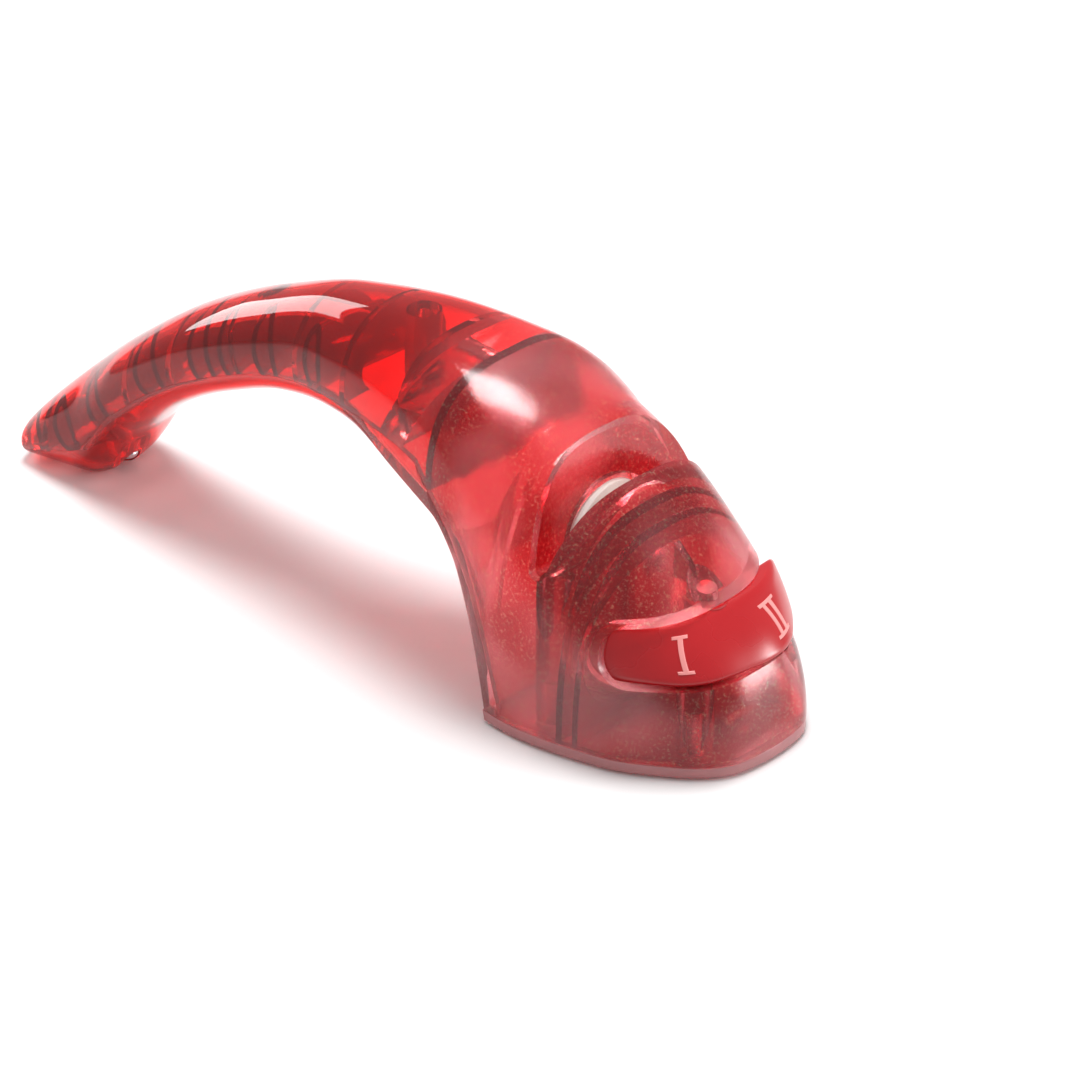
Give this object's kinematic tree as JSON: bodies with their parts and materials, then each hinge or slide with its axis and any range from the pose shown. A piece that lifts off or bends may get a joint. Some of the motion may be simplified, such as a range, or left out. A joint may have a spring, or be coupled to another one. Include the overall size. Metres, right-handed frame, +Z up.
{
  "type": "pull-through knife sharpener",
  "caption": "Hand-held kitchen knife sharpener: arched handle, domed head with a blade slot over a grooved ceramic roll, and a rocker that picks stage one or two.",
  "frame": {"origin": "on the table plane, under the middle of the sharpener's length and on its plane of symmetry", "axes": "+X from the tail of the handle to the nose of the head, +Y across, along the blade slot, +Z up"},
  "size_m": [0.205, 0.057, 0.068],
  "materials": {
    "clear_red": "translucent red plastic, polished on the handle and fine-grained on the head",
    "pale_red": "moulded plastic, slightly glossy",
    "satin_red": "satin moulded plastic",
    "white_nylon": "plain natural nylon, moulded or turned",
    "ceramic": "fine abrasive ceramic, unglazed",
    "pad_rubber": "matt non-slip rubber",
    "bright_steel": "bright turned steel"
  },
  "bodies": {
    "housing": {"upper_shell": "clear_red", "lower_shell": "clear_red", "base_plate": "pale_red", "base_pad_1": "pad_rubber", "base_pad_2": "pad_rubber", "base_pad_3": "pad_rubber", "base_screw_1": "bright_steel", "base_screw_2": "bright_steel", "base_screw_3": "bright_steel", "base_screw_4": "bright_steel", "handle_screw_1": "bright_steel", "handle_screw_2": "bright_steel", "handle_screw_3": "bright_steel", "rocker_pin": "bright_steel", "pivot_screw": "bright_steel", "detent_ball": "bright_steel", "detent_spring": "bright_steel"},
    "selector": {"selector_rocker": "satin_red"},
    "carrier": {"roll_carrier": "white_nylon", "drive_pin": "bright_steel", "roll_axle": "bright_steel", "axle_clip_front": "bright_steel", "axle_clip_rear": "bright_steel"},
    "roll": {"roll_bush": "white_nylon", "roll_disc_front": "ceramic", "roll_disc_rear": "ceramic"}
  },
  "joints": [
    {"name": "selector_rock", "type": "hinge", "parent": "housing", "child": "selector", "pos_m": [0.084, 0, 0.0235], "axis": [0, 0, 1], "range_deg": [0, 18]},
    {"name": "carrier_swivel", "type": "hinge", "parent": "housing", "child": "carrier", "pos_m": [0.0625, 0, 0.0067], "axis": [0, 0, 1], "range_deg": [-11.8, 0]},
    {"name": "roll_spin", "type": "hinge", "parent": "carrier", "child": "roll", "pos_m": [0.0625, 0, 0.031], "axis": [0.9948, 0.1018, 0], "continuous": true}
  ],
  "couplings": [
    {"joint": "carrier_swivel", "follows": "selector_rock", "ratio": -0.6489}
  ]
}
